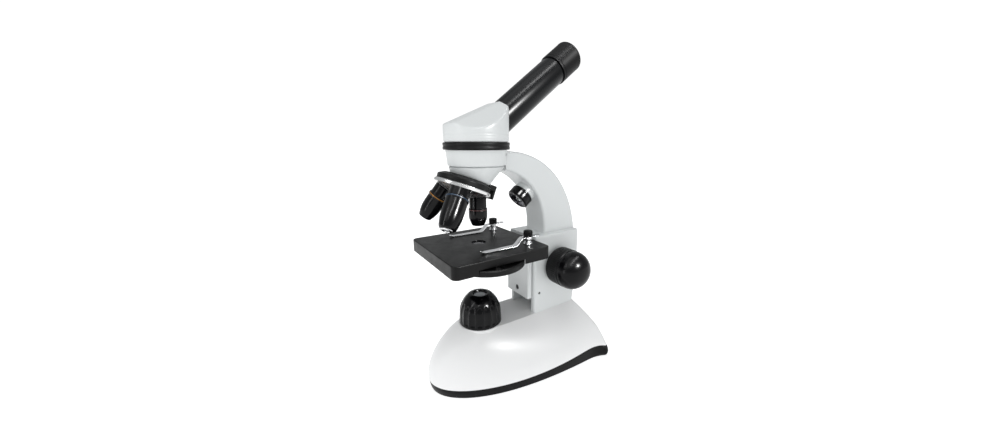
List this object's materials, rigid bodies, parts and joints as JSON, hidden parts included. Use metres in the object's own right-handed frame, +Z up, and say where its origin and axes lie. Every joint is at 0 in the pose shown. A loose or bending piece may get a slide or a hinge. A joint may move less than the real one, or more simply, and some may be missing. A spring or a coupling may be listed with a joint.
{
  "type": "student microscope",
  "caption": "Monocular student microscope with a curved arm, rack-focused square stage, tilting objective turret, swivelling inclined head and lamps above and below the stage.",
  "frame": {"origin": "middle of the footprint, on the table under the feet", "axes": "+Z up, +Y from the nose of the base towards the arm, +X towards the right focus knob"},
  "size_m": [0.1152, 0.169, 0.3036],
  "materials": {
    "white_enamel": "glossy enamel on a light-alloy casting",
    "white_shell": "glossy moulded",
    "black_gloss": "gloss",
    "black_plastic": "satin moulded",
    "black_enamel": "satin enamel on a light-alloy casting",
    "black_anodised": "semi-gloss black anodised",
    "silver_metal": "turned satin",
    "chrome": "polished",
    "steel": "zinc plated",
    "steel_black": "black oxide",
    "brass": "machined",
    "rubber": "matte",
    "glass": "polished",
    "lamp_white": "diffusing",
    "circuit_green": "solder mask",
    "cell_wrap": "plain sleeve",
    "band_red": "enamel",
    "band_gold": "enamel",
    "band_blue": "enamel"
  },
  "bodies": {
    "stand": {"arm": "white_enamel", "arm_screws": "steel", "base_pan": "black_plastic", "base_screws": "steel", "base_shell": "white_shell", "batteries": "cell_wrap", "battery_door": "black_plastic", "battery_door_screw": "steel", "battery_holder": "black_plastic", "column_bolts": "steel", "control_board": "circuit_green", "dc_socket": "black_plastic", "detent_spring": "black_enamel", "focus_housing": "white_enamel", "lamp_leds": "lamp_white", "lower_lamp_dome": "black_gloss", "lower_lamp_lens": "glass", "nosepiece_mount": "white_enamel", "rubber_feet": "rubber", "set_screws": "steel_black", "shaft_bushings": "brass", "switch_bezel": "black_plastic", "turret_base": "black_enamel", "turret_screw": "steel", "upper_lamp_housing": "black_gloss", "upper_lamp_lens": "glass", "upper_lamp_mount": "white_enamel"},
    "focus_drive": {"focus_shaft": "steel", "pinion": "brass", "left_focus_knob": "black_gloss", "right_focus_knob": "black_gloss"},
    "stage": {"stage_slide": "white_enamel", "slide_screw": "steel", "focus_rack": "brass", "stage_plate": "black_enamel", "condenser_lens": "glass", "stage_screws": "steel", "diaphragm_pivot": "steel", "clip_posts": "chrome", "clip_caps": "black_gloss"},
    "diaphragm": {"disc_diaphragm": "black_enamel"},
    "left_clip_body": {"left_clip": "chrome"},
    "right_clip_body": {"right_clip": "chrome"},
    "turret": {"turret_disc": "silver_metal", "objective_4x": "black_anodised", "objective_10x": "black_anodised", "objective_40x": "black_anodised", "colour_band_4x": "band_red", "colour_band_10x": "band_gold", "colour_band_40x": "band_blue", "objective_front_lenses": "glass"},
    "head": {"head_housing": "white_enamel", "head_ring": "black_enamel", "prism": "glass", "eyepiece_tube": "black_anodised"},
    "eyepiece": {"eyepiece_barrel": "black_plastic", "eye_lens": "glass", "field_lens": "glass"},
    "switch": {"switch_rocker": "black_gloss"}
  },
  "joints": [
    {"name": "stage_lift", "type": "slide", "parent": "stand", "child": "stage", "axis": [0, 0, 1], "range_m": [-0.014, 0]},
    {"name": "focus_turn", "type": "hinge", "parent": "stand", "child": "focus_drive", "pos_m": [0, 0.0425, 0.0962], "axis": [1, 0, 0], "range_deg": [-2, 136]},
    {"name": "diaphragm_turn", "type": "hinge", "parent": "stage", "child": "diaphragm", "pos_m": [0.022, -0.037, 0.116], "axis": [0, 0, 1], "continuous": true},
    {"name": "left_clip_swing", "type": "hinge", "parent": "stage", "child": "left_clip_body", "pos_m": [-0.029, -0.001, 0.133], "axis": [0, 0, 1], "range_deg": [-30, 60]},
    {"name": "right_clip_swing", "type": "hinge", "parent": "stage", "child": "right_clip_body", "pos_m": [0.029, -0.001, 0.133], "axis": [0, 0, 1], "range_deg": [-60, 30]},
    {"name": "turret_turn", "type": "hinge", "parent": "stand", "child": "turret", "pos_m": [0, -0.0477, 0.1757], "axis": [0, -0.3584, -0.9336], "continuous": true},
    {"name": "head_swivel", "type": "hinge", "parent": "stand", "child": "head", "pos_m": [0, -0.0335, 0.206], "axis": [0, 0, 1], "continuous": true},
    {"name": "eyepiece_slide", "type": "slide", "parent": "head", "child": "eyepiece", "axis": [0, 0.788, 0.6157], "range_m": [0, 0.03]},
    {"name": "switch_rock", "type": "hinge", "parent": "stand", "child": "switch", "pos_m": [0.02, 0.0785, 0.02], "axis": [0, 0, 1], "range_deg": [-14, 0]}
  ],
  "couplings": [
    {"joint": "focus_turn", "follows": "stage_lift", "rad_per_m": -166.67}
  ]
}
